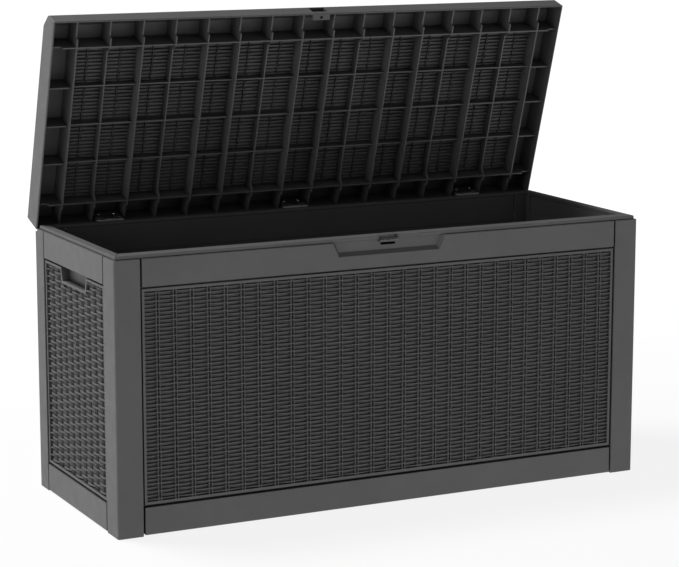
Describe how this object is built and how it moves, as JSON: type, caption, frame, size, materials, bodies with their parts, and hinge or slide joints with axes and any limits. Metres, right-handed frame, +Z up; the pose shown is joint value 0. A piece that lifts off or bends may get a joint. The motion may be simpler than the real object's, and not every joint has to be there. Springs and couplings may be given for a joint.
{
  "type": "storage bench",
  "caption": "Long resin storage bench with corner posts, wicker-look walls, finger grips and a deep ribbed lid, shown open on its rear hinges.",
  "frame": {"origin": "centre of the body's footprint on the floor, on the underside of the floor panel's middle beam", "axes": "+X along the bench to the right-hand end, -Y out of the front, +Z up"},
  "size_m": [1.2, 0.5079, 1.0066],
  "materials": {
    "frame_resin": "fine matte grain",
    "panel_resin": "moulded wicker weave, matte",
    "lid_resin": "matte, ribbed inside",
    "hinge_steel": "dull zinc plate"
  },
  "bodies": {
    "bench": {"post_front_left": "frame_resin", "post_front_right": "frame_resin", "post_rear_left": "frame_resin", "post_rear_right": "frame_resin", "rail_top_front": "frame_resin", "rail_top_rear": "frame_resin", "rail_top_left": "frame_resin", "rail_top_right": "frame_resin", "rail_bottom_front": "frame_resin", "rail_bottom_rear": "frame_resin", "rail_bottom_left": "frame_resin", "rail_bottom_right": "frame_resin", "rim_front": "frame_resin", "rim_rear": "frame_resin", "rim_left": "frame_resin", "rim_right": "frame_resin", "panel_front": "panel_resin", "panel_rear": "panel_resin", "panel_left": "panel_resin", "panel_right": "panel_resin", "floor_panel": "panel_resin", "hinge_body_leaf_1": "hinge_steel", "hinge_pin_1": "hinge_steel", "hinge_body_leaf_2": "hinge_steel", "hinge_pin_2": "hinge_steel", "hinge_body_leaf_3": "hinge_steel", "hinge_pin_3": "hinge_steel", "body_screw_1a": "hinge_steel", "body_screw_1b": "hinge_steel", "body_screw_2a": "hinge_steel", "body_screw_2b": "hinge_steel", "body_screw_3a": "hinge_steel", "body_screw_3b": "hinge_steel"},
    "lid": {"lid": "lid_resin", "hinge_lid_leaf_1": "hinge_steel", "hinge_lid_leaf_2": "hinge_steel", "hinge_lid_leaf_3": "hinge_steel", "lid_screw_1a": "hinge_steel", "lid_screw_1b": "hinge_steel", "lid_screw_2a": "hinge_steel", "lid_screw_2b": "hinge_steel", "lid_screw_3a": "hinge_steel", "lid_screw_3b": "hinge_steel"}
  },
  "joints": [
    {"name": "lid_hinge", "type": "hinge", "parent": "bench", "child": "lid", "pos_m": [0, 0.2238, 0.562], "axis": [-1, 0, 0], "range_deg": [-72.58, 27.4]}
  ]
}
